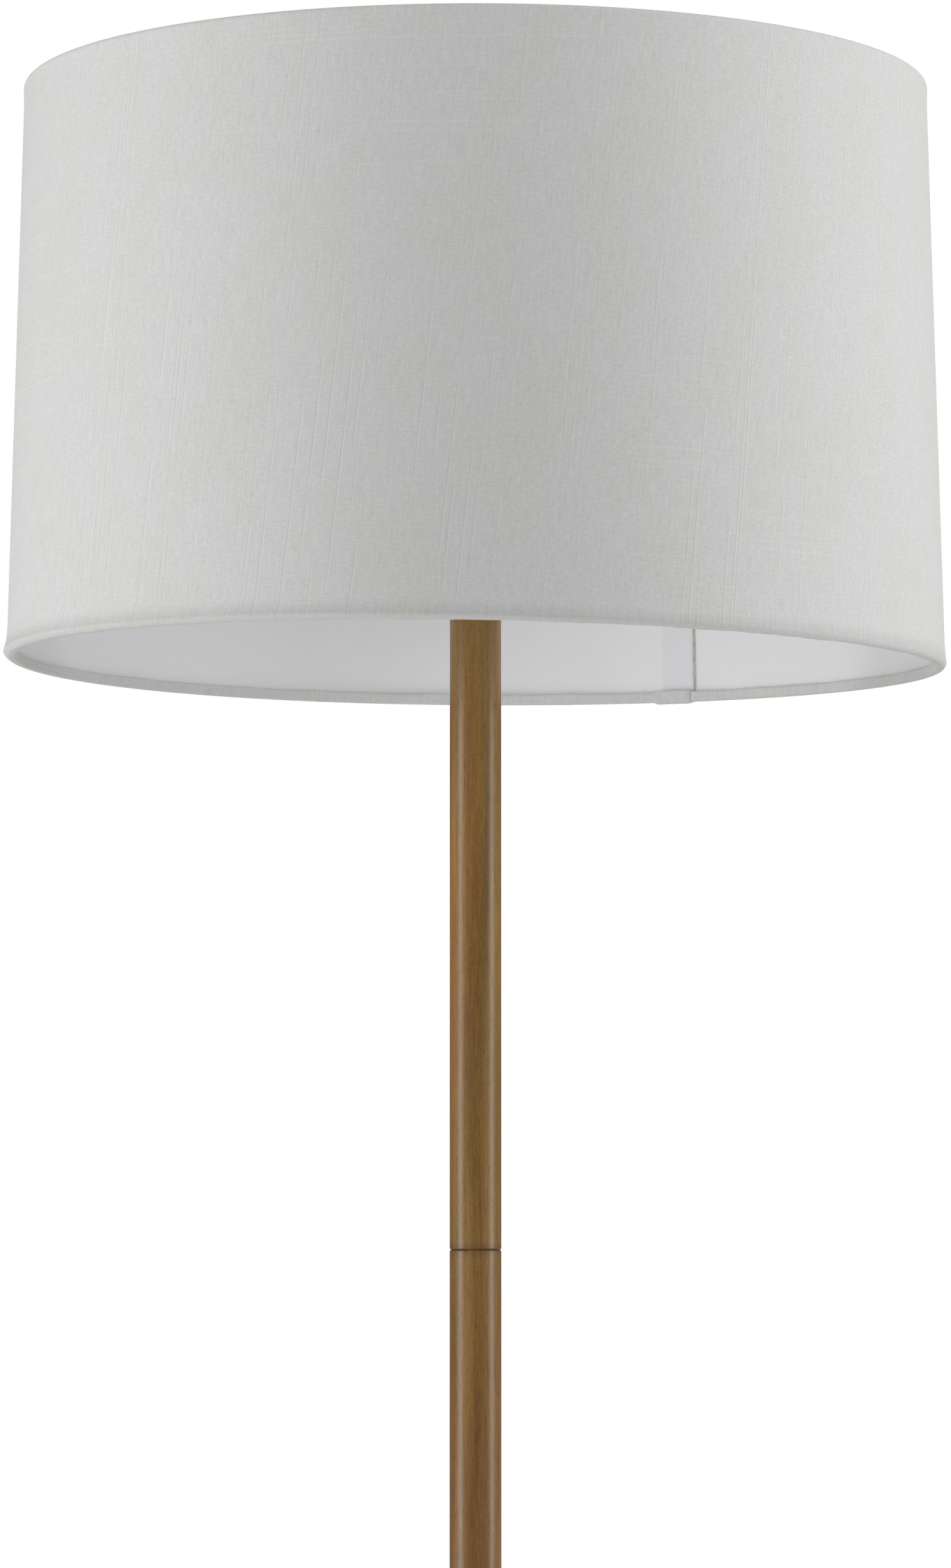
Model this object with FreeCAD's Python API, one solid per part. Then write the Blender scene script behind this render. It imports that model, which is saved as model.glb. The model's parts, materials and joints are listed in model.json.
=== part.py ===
"""Tripod floor lamp: three splayed legs in a round hub, a two-piece wooden pole and a linen drum shade.

Millimetres, +Z up. The origin is the point on the floor under the pole's axis, and -Y is the front.
Each sub-part is one STEP file in parts/, named after the piece.
"""

import FreeCAD
import Part

import math
import os

from FreeCAD import Placement, Rotation, Vector

# ---------------------------------------------------------------- driving dimensions
TOTAL_HEIGHT = 1524.0  # floor to the finial's top
SHADE_HEIGHT = 283.0
SHADE_TOP_DIA = 442.0
SHADE_BOTTOM_DIA = 457.0
FINIAL_PROUD = 10.0  # finial's top above the shade's top rim
FINIAL_HEIGHT = 22.5
POLE_DIA = 25.0
JOINT_BELOW_SHADE = 284.0  # the pole's joint, below the shade's bottom rim
POLE_INTO_SHADE = 39.0  # the pole's top, above the shade's bottom rim
HUB_BOTTOM_Z = 462.0
HUB_HEIGHT = 50.0
LEG_SPLAY_DEG = 24.0  # from vertical
LEG_RADIUS_AT_HUB = 24.0  # leg axis from the lamp's axis, at the hub's underside
HARP_WIDTH = 114.0
BULB_DIA = 60.0
BULB_LENGTH = 108.0

# ---------------------------------------------------------------- stock sizes
FIT_GAP = 0.05  # radial, between pieces that are screwed or glued together
RUN_GAP = 0.3  # between pieces that move past each other
BEARING_GAP = 0.08  # radial, where a shaft turns in its bearing
FABRIC_T = 0.55
LINER_T = 0.5
SHADE_WIRE_R = 2.0
SPIDER_WIRE_R = 1.75
WASHER_T = 1.6
NIPPLE_R = 4.9  # 1/8 IP lamp pipe
NIPPLE_BORE_R = 3.5
WIREWAY_R = 5.0  # bore through the wood
INSERT_R = 7.5
INSERT_LENGTH = 20.0
NIPPLE_BITE = 18.0  # how far a nipple goes into each insert
EDGE = 0.6  # broken edge on turned wood
HARP_WIRE_R = 1.75
POST_SPACING = 57.0  # between the saddle's two posts
PLATE_T = 3.0
STUD_R = 3.175
SHELL_R = 16.5  # socket shell
SHELL_T = 0.6
LEG_END_R = 11.0
LEG_WAIST_R = 13.0
LEG_FOOT_R = 7.8
BOLT_R = 3.0
GLIDE_R = 9.0
GLIDE_T = 3.0
NAIL_R = 1.2
NAIL_DEPTH = 9.0
NAIL_HEAD_R = 3.5
NAIL_HEAD_T = 1.0
LEG_ANGLES = {"rear": 90.0, "front_left": 210.0, "front_right": 330.0}
ARM_ANGLES = (90.0, 210.0, 330.0)

# ---------------------------------------------------------------- levels worked out from them
SHADE_TOP_Z = TOTAL_HEIGHT - FINIAL_PROUD
SHADE_BOTTOM_Z = SHADE_TOP_Z - SHADE_HEIGHT
POLE_R = POLE_DIA / 2
JOINT_Z = SHADE_BOTTOM_Z - JOINT_BELOW_SHADE
POLE_TOP_Z = SHADE_BOTTOM_Z + POLE_INTO_SHADE
HUB_TOP_Z = HUB_BOTTOM_Z + HUB_HEIGHT
SPLAY = math.radians(LEG_SPLAY_DEG)
FOOT_RADIUS = LEG_RADIUS_AT_HUB + HUB_BOTTOM_Z * math.tan(SPLAY)
CAP_TOP_Z = POLE_TOP_Z + 6.0
SADDLE_Z = CAP_TOP_Z + 6.0
SADDLE_T = 1.5
SOCKET_Z = SADDLE_Z + SADDLE_T
WASHER_TOP_Z = TOTAL_HEIGHT - FINIAL_HEIGHT - RUN_GAP
PLATE_TOP_Z = WASHER_TOP_Z - WASHER_T - RUN_GAP
SWITCH_Z = SOCKET_Z + 28.0
SCREW_SHELL_Z = SOCKET_Z + 39.0
BULB_Z = SCREW_SHELL_Z + 2.5  # tip of the bulb's contact
HEM_R = SHADE_WIRE_R + FIT_GAP + FABRIC_T


# ---------------------------------------------------------------- building blocks
def at(x, y, z):
    return Vector(x, y, z)


def rz(r, z):
    """A point of a turned profile: radius and height."""
    return Vector(r, 0, z)


def line(a, b):
    return Part.LineSegment(a, b).toShape()


def arc(a, mid, b):
    return Part.Arc(a, mid, b).toShape()


def turned(edges):
    """The solid of revolution of a closed profile in the XZ plane, about Z."""
    face = Part.Face(Part.Wire(edges))
    solid = face.revolve(at(0, 0, 0), at(0, 0, 1), 360)
    if solid.Volume < 0:
        solid.reverse()
    return solid


def turned_polygon(points):
    """A solid of revolution from straight profile runs, given as (radius, height)."""
    corners = [rz(r, z) for r, z in points]
    return turned([line(a, b) for a, b in zip(corners, corners[1:] + corners[:1])])


def tube(outer_r, inner_r, low_z, high_z, edge=0.0):
    """A tube along Z, its outer edges broken by edge."""
    low_side = [(outer_r - edge, low_z), (outer_r, low_z + edge)] if edge else [(outer_r, low_z)]
    high_side = [(outer_r, high_z - edge), (outer_r - edge, high_z)] if edge else [(outer_r, high_z)]
    return turned_polygon([(inner_r, low_z)] + low_side + high_side + [(inner_r, high_z)])


def rod(radius, low_z, high_z, x=0.0, y=0.0):
    return Part.makeCylinder(radius, high_z - low_z, at(x, y, low_z))


def rod_between(radius, start, end):
    return Part.makeCylinder(radius, (end - start).Length, start, end - start)


def one(shapes):
    """The union of shapes, as one clean solid."""
    first, rest = shapes[0], shapes[1:]
    return first.multiFuse(rest).removeSplitter()


def group(shapes):
    """Separate solids that share one node."""
    return Part.makeCompound(shapes)


def about_z(shape, degrees):
    turned_copy = shape.copy()
    turned_copy.rotate(at(0, 0, 0), at(0, 0, 1), degrees)
    return turned_copy


def hexagon(across_flats, low_z, high_z):
    corner_r = across_flats / math.sqrt(3)
    angles = [i * math.pi / 3 for i in range(6)]
    corners = [at(corner_r * math.cos(a), corner_r * math.sin(a), low_z) for a in angles]
    face = Part.Face(Part.makePolygon(corners + corners[:1]))
    return face.extrude(at(0, 0, high_z - low_z))


def rounded_path(points, radii):
    """A wire of straight runs through points, with a tangent arc of its own radius at each inner one."""
    edges = []
    here = points[0]
    for before, corner, after, radius in zip(points, points[1:], points[2:], radii):
        into = (corner - before).normalize()
        out = (after - corner).normalize()
        half_turn = into.getAngle(out) / 2
        reach = radius * math.tan(half_turn)
        start = corner - into * reach
        end = corner + out * reach
        inward = (out - into).normalize()
        middle = corner + inward * (radius / math.cos(half_turn) - radius)
        edges += [line(here, start), arc(start, middle, end)]
        here = end
    edges.append(line(here, points[-1]))
    return Part.Wire(edges)


def bent_wire(path, radius):
    """A round wire bent along path."""
    first = path.Edges[0]
    start = first.valueAt(first.FirstParameter)
    tangent = first.tangentAt(first.FirstParameter)
    section = Part.Wire(Part.makeCircle(radius, start, tangent))
    return path.makePipeShell([section], True, False)


# ---------------------------------------------------------------- legs and feet
def on_leg(radial, along):
    """A point in the rear leg's plane.

    radial is outwards across the leg's axis, and along is up it from the hub's underside.
    """
    foot_to_hub = Vector(0, -math.sin(SPLAY), math.cos(SPLAY))
    across = Vector(0, math.cos(SPLAY), math.sin(SPLAY))
    return at(0, LEG_RADIUS_AT_HUB, HUB_BOTTOM_Z) + foot_to_hub * along + across * radial


LEG_TOP_ALONG = LEG_END_R * math.tan(SPLAY) + 1.0  # the leg's end, buried in its pocket
LEG_FLOOR_ALONG = -HUB_BOTTOM_Z / math.cos(SPLAY)
LEG_TENON = 8.0  # straight part of the leg below the hub's underside
BOLT_INTO_LEG = 26.0
BOLT_INTO_HUB = 15.0
LEG_INSERT_R = 5.0
LEG_INSERT_LENGTH = 13.0


def lay_along_leg(shape):
    """Carries a shape modelled along +Z, from the hub's underside, on to the rear leg's axis."""
    placed = shape.copy()
    placed.Placement = Placement(on_leg(0, 0), Rotation(at(0, 0, 1), on_leg(0, 1) - on_leg(0, 0)))
    return placed


def leg():
    """A turned leg, fullest in its upper third, cut flat where its glide is."""
    overrun = 20.0  # past the floor, so that the cut is a full one
    low = LEG_FLOOR_ALONG - overrun
    waist = LEG_FLOOR_ALONG * 0.3
    top = LEG_TOP_ALONG
    profile = [
        line(rz(0, low), rz(LEG_FOOT_R, low)),
        arc(rz(LEG_FOOT_R, low), rz(LEG_WAIST_R, waist), rz(LEG_END_R, -LEG_TENON)),
        line(rz(LEG_END_R, -LEG_TENON), rz(LEG_END_R, top - EDGE)),
        line(rz(LEG_END_R, top - EDGE), rz(LEG_END_R - EDGE, top)),
        line(rz(LEG_END_R - EDGE, top), rz(0, top)),
        line(rz(0, top), rz(0, low)),
    ]
    turned_leg = lay_along_leg(turned(profile))
    under = Part.makeBox(200, 200, 200, at(-100, FOOT_RADIUS - 100, GLIDE_T - 200))
    bolt_hole = lay_along_leg(rod(BOLT_R + FIT_GAP, top - BOLT_INTO_LEG, top + 1))
    nail_hole = rod(NAIL_R + FIT_GAP, GLIDE_T - 1, GLIDE_T + NAIL_DEPTH, y=FOOT_RADIUS)
    return turned_leg.cut(under).cut(bolt_hole).cut(nail_hole)


def glide():
    """A round rubber pad under a foot, with a counterbore for its nail's head."""
    disc = tube(GLIDE_R, NAIL_R + FIT_GAP, 0, GLIDE_T, edge=0.5)
    head_seat = rod(NAIL_HEAD_R + FIT_GAP, -1, NAIL_HEAD_T + FIT_GAP + 0.5)
    pad = disc.cut(head_seat)
    pad.translate(at(0, FOOT_RADIUS, 0))
    return pad


def glide_nail():
    shank = rod(NAIL_R, 0.5, GLIDE_T + NAIL_DEPTH - 1, y=FOOT_RADIUS)
    head = rod(NAIL_HEAD_R, 0.5, 0.5 + NAIL_HEAD_T, y=FOOT_RADIUS)
    return one([shank, head])


def leg_bolt():
    """A hanger bolt: half in the leg, half in the hub's threaded insert."""
    low = LEG_TOP_ALONG - BOLT_INTO_LEG + 1
    high = LEG_TOP_ALONG + BOLT_INTO_HUB - 1
    return lay_along_leg(rod(BOLT_R, low, high))


def leg_insert():
    low = LEG_TOP_ALONG + 0.5
    return lay_along_leg(tube(LEG_INSERT_R, BOLT_R + FIT_GAP, low, low + LEG_INSERT_LENGTH))


# ---------------------------------------------------------------- hub
def hub():
    """The round wooden hub: domed on top, with a slanting pocket for each leg in its flat underside."""
    radius = 42.0
    seat_r = 18.0  # flat on top, where the pole stands
    shoulder_z = HUB_BOTTOM_Z + 24.0
    round_r = 4.0
    profile = [
        line(rz(WIREWAY_R, HUB_BOTTOM_Z), rz(radius - round_r, HUB_BOTTOM_Z)),
        arc(
            rz(radius - round_r, HUB_BOTTOM_Z),
            rz(radius - round_r * (1 - math.sqrt(0.5)), HUB_BOTTOM_Z + round_r * (1 - math.sqrt(0.5))),
            rz(radius, HUB_BOTTOM_Z + round_r),
        ),
        line(rz(radius, HUB_BOTTOM_Z + round_r), rz(radius, shoulder_z)),
        arc(rz(radius, shoulder_z), rz(36.0, shoulder_z + 16.5), rz(seat_r, HUB_TOP_Z)),
        line(rz(seat_r, HUB_TOP_Z), rz(WIREWAY_R, HUB_TOP_Z)),
        line(rz(WIREWAY_R, HUB_TOP_Z), rz(WIREWAY_R, HUB_BOTTOM_Z)),
    ]
    body = turned(profile)
    pocket = lay_along_leg(rod(LEG_END_R + 3 * FIT_GAP, -20, LEG_TOP_ALONG + FIT_GAP))
    insert_hole = lay_along_leg(rod(LEG_INSERT_R + FIT_GAP, 0, LEG_TOP_ALONG + BOLT_INTO_HUB))
    for angle in LEG_ANGLES.values():
        body = body.cut(about_z(pocket, angle - 90)).cut(about_z(insert_hole, angle - 90))
    return body


HUB_WASHER_T = 1.5
LOCKNUT_T = 4.0
GLAND_FLANGE_T = 2.0
NIPPLE_BELOW_HUB = HUB_WASHER_T + LOCKNUT_T + 2.0


def cord_gland():
    """The smooth plastic bush on the hub nipple's lower end, where the supply cord comes out."""
    mouth_z = HUB_BOTTOM_Z - NIPPLE_BELOW_HUB - GLAND_FLANGE_T
    nipple_end_z = HUB_BOTTOM_Z - NIPPLE_BELOW_HUB
    lip_r, bore_r = 7.5, 3.2
    return turned_polygon(
        [
            (bore_r, mouth_z),
            (lip_r - 1.0, mouth_z),
            (lip_r, mouth_z + 1.0),
            (lip_r, nipple_end_z),
            (NIPPLE_BORE_R - FIT_GAP, nipple_end_z),
            (NIPPLE_BORE_R - FIT_GAP, nipple_end_z + 9.0),
            (bore_r, nipple_end_z + 9.0),
        ]
    )


# ---------------------------------------------------------------- pole
def pole_segment(low_z, high_z):
    """A wooden pole segment: bored for the cord, and counterbored at both ends for its inserts."""
    wood = tube(POLE_R, WIREWAY_R, low_z, high_z, edge=EDGE)
    depth = INSERT_LENGTH + 1.0
    low_seat = rod(INSERT_R + FIT_GAP, low_z - 1, low_z + depth)
    high_seat = rod(INSERT_R + FIT_GAP, high_z - depth, high_z + 1)
    return wood.cut(low_seat).cut(high_seat)


def pole_insert(face_z, up):
    """A threaded insert, set half a millimetre back from the segment's end."""
    low_z = face_z + 0.5 if up else face_z - 0.5 - INSERT_LENGTH
    return tube(INSERT_R, NIPPLE_R + FIT_GAP, low_z, low_z + INSERT_LENGTH)


def nipple(low_z, high_z):
    return tube(NIPPLE_R, NIPPLE_BORE_R, low_z, high_z, edge=0.4)


def pole_cap():
    """The turned metal cap on the pole's top, stepped down to the neck."""
    return turned_polygon(
        [
            (NIPPLE_R + FIT_GAP, POLE_TOP_Z),
            (POLE_R + 0.5, POLE_TOP_Z),
            (POLE_R + 0.5, POLE_TOP_Z + 2.2),
            (POLE_R - 0.5, POLE_TOP_Z + 3.0),
            (8.0, CAP_TOP_Z - 1.0),
            (7.2, CAP_TOP_Z),
            (NIPPLE_R + FIT_GAP, CAP_TOP_Z),
        ]
    )


# ---------------------------------------------------------------- harp
HARP_FOOT_Z = SOCKET_Z + 13.7
STOP_TOP_Z = SOCKET_Z + 4.5
SLEEVE_R = 3.4
SLEEVE_LENGTH = 14.0


def saddle():
    """The flat strip under the socket, with a post at each end that the harp stands on."""
    half = POST_SPACING / 2
    strip = Part.makeBox(POST_SPACING + 6, 10, SADDLE_T, at(-half - 3, -5, SADDLE_Z))
    strip = strip.cut(rod(NIPPLE_R + FIT_GAP, SADDLE_Z - 1, SOCKET_Z + 1))
    posts = []
    for x in (-half, half):
        posts.append(rod(HARP_WIRE_R, SADDLE_Z + 0.5, HARP_FOOT_Z - 0.2, x=x))
        posts.append(rod(2.8, STOP_TOP_Z - 1.5, STOP_TOP_Z, x=x))
    return one([strip] + posts)


def harp():
    """The bent wire loop round the bulb, with the flat plate at its top that carries the shade."""
    half = POST_SPACING / 2
    wide = HARP_WIDTH / 2
    top_z = PLATE_TOP_Z - PLATE_T / 2
    right = [
        at(half, 0, HARP_FOOT_Z),
        at(half, 0, HARP_FOOT_Z + 25),
        at(wide, 0, HARP_FOOT_Z + 72),
        at(wide, 0, top_z - 46),
        at(wide * 0.72, 0, top_z),
    ]
    left = [at(-p.x, 0, p.z) for p in right]
    radii = [25, 32, 34, 18]
    path = rounded_path(left + right[::-1], radii + radii[::-1])
    wire = bent_wire(path, HARP_WIRE_R)
    plate = Part.makeBox(18, 9, PLATE_T, at(-9, -4.5, PLATE_TOP_Z - PLATE_T))
    loop = one([wire, plate])
    for low_z in (PLATE_TOP_Z, PLATE_TOP_Z - PLATE_T - 5):
        loop = loop.cut(Part.makeBox(32, 12, 5, at(-16, -6, low_z)))
    return loop.cut(rod(2.5 + FIT_GAP, PLATE_TOP_Z - 10, PLATE_TOP_Z + 10))


def harp_stud():
    """The threaded stud riveted into the harp's plate."""
    tail = rod(2.5, PLATE_TOP_Z - PLATE_T - 1, PLATE_TOP_Z)
    head = rod(4.0, PLATE_TOP_Z - PLATE_T - 1.5, PLATE_TOP_Z - PLATE_T)
    thread = rod(STUD_R, PLATE_TOP_Z, WASHER_TOP_Z + 9.0)
    return one([tail, head, thread])


def harp_sleeve(x):
    """A locking sleeve: it drops over the joint between a post and the harp, and slides up to free it."""
    low_z = STOP_TOP_Z + RUN_GAP
    sleeve = tube(SLEEVE_R, HARP_WIRE_R + RUN_GAP, low_z, low_z + SLEEVE_LENGTH, edge=0.4)
    sleeve.translate(at(x, 0, 0))
    return sleeve


def finial():
    """The turned finial that holds the shade down on the harp."""
    low = WASHER_TOP_Z + RUN_GAP
    hole_r = STUD_R + BEARING_GAP
    hole_top = low + 9.6
    ball_r = 7.0
    ball_z = TOTAL_HEIGHT - ball_r
    neck_r = 3.8
    neck_z = ball_z - math.sqrt(ball_r**2 - neck_r**2)
    profile = [
        line(rz(hole_r, low), rz(8.5, low)),
        line(rz(8.5, low), rz(9.0, low + 0.5)),
        line(rz(9.0, low + 0.5), rz(9.0, low + 2.0)),
        arc(rz(9.0, low + 2.0), rz(5.4, low + 3.8), rz(neck_r + 1.2, neck_z - 1.2)),
        line(rz(neck_r + 1.2, neck_z - 1.2), rz(neck_r, neck_z)),
        arc(rz(neck_r, neck_z), rz(ball_r, ball_z), rz(0, TOTAL_HEIGHT)),
        line(rz(0, TOTAL_HEIGHT), rz(0, hole_top)),
        line(rz(0, hole_top), rz(hole_r, hole_top)),
        line(rz(hole_r, hole_top), rz(hole_r, low)),
    ]
    return turned(profile)


# ---------------------------------------------------------------- socket and switch
SHAFT_R = 2.4
SHAFT_HOLE_R = SHAFT_R + BEARING_GAP
RIM_Z = SOCKET_Z + 21.0  # top of the socket cap's rim
SHELL_LOW_Z = SOCKET_Z + 16.0
SHELL_TOP_Z = SOCKET_Z + 62.0


def toward_front(radius, near_y, far_y, z):
    """A round rod along -Y, from near_y to far_y."""
    return Part.makeCylinder(radius, near_y - far_y, at(0, near_y, z), at(0, -1, 0))


def socket_cap():
    """The bell-shaped lower half of the socket, screwed on to the nipple."""
    rim_r = SHELL_R + FIT_GAP + 0.9
    z = SOCKET_Z
    return turned_polygon(
        [
            (NIPPLE_R + FIT_GAP, z),
            (7.0, z),
            (7.0, z + 4.0),
            (9.5, z + 7.0),
            (14.0, z + 11.0),
            (rim_r, z + 15.5),
            (rim_r, RIM_Z),
            (rim_r - 0.9, RIM_Z),
            (rim_r - 0.9, z + 15.9),
            (13.4, z + 12.0),
            (8.8, z + 8.0),
            (NIPPLE_R + FIT_GAP, z + 7.0),
        ]
    )


def socket_shell():
    """The socket's outer tube, with a rolled lip and the switch shaft's hole."""
    inner = SHELL_R - SHELL_T
    body = turned_polygon(
        [
            (inner, SHELL_LOW_Z),
            (SHELL_R, SHELL_LOW_Z),
            (SHELL_R, SHELL_TOP_Z - 2.5),
            (SHELL_R + 0.8, SHELL_TOP_Z - 1.5),
            (SHELL_R + 0.8, SHELL_TOP_Z - 0.6),
            (SHELL_R, SHELL_TOP_Z),
            (inner, SHELL_TOP_Z),
        ]
    )
    return body.cut(toward_front(4.2, 0, -30, SWITCH_Z))


def socket_insulator():
    """The fibre sleeve between the shell and the live parts."""
    outer = SHELL_R - SHELL_T - 0.1
    body = tube(outer, outer - 0.8, SHELL_LOW_Z + 0.5, SHELL_TOP_Z - 1.0)
    return body.cut(toward_front(3.6, 0, -30, SWITCH_Z))


INTERIOR_R = SHELL_R - SHELL_T - 1.1
INTERIOR_TOP_Z = SCREW_SHELL_Z - 0.05
TERMINAL_X = 9.5  # each binding screw, either side of the middle


def socket_interior():
    """The moulded body that holds the switch, the terminals and the screw shell."""
    block = tube(INTERIOR_R, 1.6, SHELL_LOW_Z + 1.0, INTERIOR_TOP_Z)
    block = block.cut(toward_front(SHAFT_HOLE_R, 2.5, -30, SWITCH_Z))
    for x in (-TERMINAL_X, TERMINAL_X):
        block = block.cut(rod(1.5 + FIT_GAP, SHELL_LOW_Z, SHELL_LOW_Z + 9.0, x=x))
    return block


def terminal_screws():
    """The two binding screws under the interior, for the cord's cores."""
    screws = []
    for x in (-TERMINAL_X, TERMINAL_X):
        shank = rod(1.5, SHELL_LOW_Z, SHELL_LOW_Z + 8.0, x=x)
        head = rod(3.0, SHELL_LOW_Z - 1.0, SHELL_LOW_Z + 1.0 - FIT_GAP, x=x)
        screws.append(one([shank, head]))
    return group(screws)


SCREW_SHELL_R = 13.9


def screw_shell():
    """The threaded metal cup that the bulb's cap sits in, open in its floor for the centre contact."""
    return turned_polygon(
        [
            (6.5, SCREW_SHELL_Z),
            (SCREW_SHELL_R, SCREW_SHELL_Z),
            (SCREW_SHELL_R, SHELL_TOP_Z - 2.0),
            (SCREW_SHELL_R - 0.4, SHELL_TOP_Z - 2.0),
            (SCREW_SHELL_R - 0.4, SCREW_SHELL_Z + 0.5),
            (6.5, SCREW_SHELL_Z + 0.5),
        ]
    )


def socket_contact():
    """The sprung centre contact, under the bulb's tip."""
    button = rod(3.5, SCREW_SHELL_Z, BULB_Z - RUN_GAP)
    stem = rod(1.5, SCREW_SHELL_Z - 6.0, SCREW_SHELL_Z)
    return one([button, stem])


def switch_shaft():
    return toward_front(SHAFT_R, 2.0, -33.0, SWITCH_Z)


def switch_knob():
    """A fluted turn knob, with a raised grip across its face."""
    knob_r, near_y, far_y = 6.5, -24.0, -38.0
    body = toward_front(knob_r, near_y, far_y, SWITCH_Z)
    grip = Part.makeBox(3.2, 6.0, 2 * knob_r - 1.2, at(-1.6, far_y - 6.0 + 0.5, SWITCH_Z - knob_r + 0.6))
    knob = one([body, grip])
    flutes = 12
    for i in range(flutes):
        a = 2 * math.pi * i / flutes
        groove = toward_front(0.8, near_y + 1, far_y - 0.1, SWITCH_Z)
        groove.translate(at((knob_r + 0.3) * math.cos(a), 0, (knob_r + 0.3) * math.sin(a)))
        knob = knob.cut(groove)
    return knob.cut(toward_front(SHAFT_R + FIT_GAP, 0, -33.0 - FIT_GAP, SWITCH_Z))


# ---------------------------------------------------------------- bulb
CAP_R = 13.2
CAP_LOW_Z = BULB_Z + 3.0
CAP_HIGH_Z = BULB_Z + 26.0
DOME_R = BULB_DIA / 2
DOME_T = 1.0
DOME_CENTRE_Z = BULB_Z + BULB_LENGTH - DOME_R
BOARD_Z = DOME_CENTRE_Z - 8.0


def bulb_contact():
    return turned_polygon(
        [(0, BULB_Z), (3.0, BULB_Z), (4.5, BULB_Z + 0.8), (4.5, BULB_Z + 1.6), (0, BULB_Z + 1.6)]
    )


def bulb_insulator():
    """The insulating ring between the bulb's centre contact and its cap."""
    z = BULB_Z + 0.9
    return turned_polygon(
        [(4.5 + FIT_GAP, z), (6.0, z), (10.5, CAP_LOW_Z), (4.5 + FIT_GAP, CAP_LOW_Z)]
    )


def bulb_cap():
    """The bulb's metal screw cap."""
    return turned_polygon(
        [
            (10.0, CAP_LOW_Z),
            (11.0, CAP_LOW_Z),
            (CAP_R, CAP_LOW_Z + 3.0),
            (CAP_R, CAP_HIGH_Z),
            (CAP_R - 0.5, CAP_HIGH_Z),
            (CAP_R - 0.5, CAP_LOW_Z + 3.2),
            (10.0, CAP_LOW_Z + 0.5),
        ]
    )


def bulb_housing():
    """The flared plastic body between cap and dome, a shell that holds the driver."""
    low = CAP_HIGH_Z
    top_r = math.sqrt(DOME_R**2 - (BOARD_Z - DOME_CENTRE_Z) ** 2)
    spigot_r = CAP_R - 0.5 - FIT_GAP
    profile = [
        line(rz(spigot_r - 1.2, low - 12), rz(spigot_r, low - 12)),
        line(rz(spigot_r, low - 12), rz(spigot_r, low + FIT_GAP)),
        line(rz(spigot_r, low + FIT_GAP), rz(CAP_R + 0.4, low + FIT_GAP)),
        line(rz(CAP_R + 0.4, low + FIT_GAP), rz(CAP_R + 0.4, low + 3)),
        arc(rz(CAP_R + 0.4, low + 3), rz(21.8, low + 21), rz(top_r, BOARD_Z)),
        line(rz(top_r, BOARD_Z), rz(top_r - 1.6, BOARD_Z)),
        arc(rz(top_r - 1.6, BOARD_Z), rz(20.2, low + 21), rz(spigot_r - 1.2, low + 3)),
        line(rz(spigot_r - 1.2, low + 3), rz(spigot_r - 1.2, low - 12)),
    ]
    return turned(profile)


def bulb_dome():
    """The frosted dome: a thin, nearly spherical shell."""
    top = BULB_Z + BULB_LENGTH
    centre_z = DOME_CENTRE_Z
    edge_z = BOARD_Z + FIT_GAP

    def on_ball(radius, z):
        return rz(math.sqrt(radius**2 - (z - centre_z) ** 2), z)

    inner = DOME_R - DOME_T
    half = math.sqrt(0.5)
    profile = [
        line(on_ball(inner, edge_z), on_ball(DOME_R, edge_z)),
        arc(on_ball(DOME_R, edge_z), rz(DOME_R * half, centre_z + DOME_R * half), rz(0, top)),
        line(rz(0, top), rz(0, top - DOME_T)),
        arc(rz(0, top - DOME_T), rz(inner * half, centre_z + inner * half), on_ball(inner, edge_z)),
    ]
    return turned(profile)


def led_board():
    return rod(24.0, BOARD_Z + 0.3, BOARD_Z + 1.9)


def leds():
    """Eight chips in a ring on the board."""
    chips = []
    for i in range(8):
        chip = Part.makeBox(3.5, 3.5, 0.8, at(-1.75, 14.0, BOARD_Z + 1.9))
        chips.append(about_z(chip, 45.0 * i))
    return group(chips)


# ---------------------------------------------------------------- shade
TOP_RING_R = SHADE_TOP_DIA / 2 - HEM_R
TOP_RING_Z = SHADE_TOP_Z - HEM_R
BOTTOM_RING_R = SHADE_BOTTOM_DIA / 2 - HEM_R
BOTTOM_RING_Z = SHADE_BOTTOM_Z + HEM_R
ARM_DROP_R = 34.0  # where each arm starts to slope down to the washer
WASHER_R = 14.0
WASHER_HOLE_R = STUD_R + RUN_GAP


def hem_arc(ring_r, ring_z, radius, from_deg, to_deg):
    """An arc about a ring's wire, in the profile plane, by way of the middle angle."""

    def on(deg):
        a = math.radians(deg)
        return rz(ring_r + radius * math.cos(a), ring_z + radius * math.sin(a))

    return arc(on(from_deg), on((from_deg + to_deg) / 2), on(to_deg))


def shade_fabric():
    """The linen: one sheet, from inside the bottom hem, up the outside, to inside the top hem."""
    inner = HEM_R - FABRIC_T
    tuck = 130.0  # where each hem ends, in degrees round the wire from its outer side
    bottom = (BOTTOM_RING_R, BOTTOM_RING_Z)
    top = (TOP_RING_R, TOP_RING_Z)
    bottom_in = hem_arc(*bottom, inner, 0, tuck - 360)
    bottom_out = hem_arc(*bottom, HEM_R, tuck - 360, 0)
    top_out = hem_arc(*top, HEM_R, 0, 360 - tuck)
    top_in = hem_arc(*top, inner, 360 - tuck, 0)

    def ends(edge):
        return edge.valueAt(edge.FirstParameter), edge.valueAt(edge.LastParameter)

    loop = [bottom_out, top_out, top_in, bottom_in]
    edges = []
    for here, after in zip(loop, loop[1:] + loop[:1]):
        edges += [here, line(ends(here)[1], ends(after)[0])]
    sheet = turned(edges)
    inside = at(0, TOP_RING_R - 20, TOP_RING_Z)
    slit = rod_between(SPIDER_WIRE_R + FIT_GAP, inside, at(0, TOP_RING_R, TOP_RING_Z))
    for angle in ARM_ANGLES:
        sheet = sheet.cut(about_z(slit, angle - 90))
    return sheet


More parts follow.
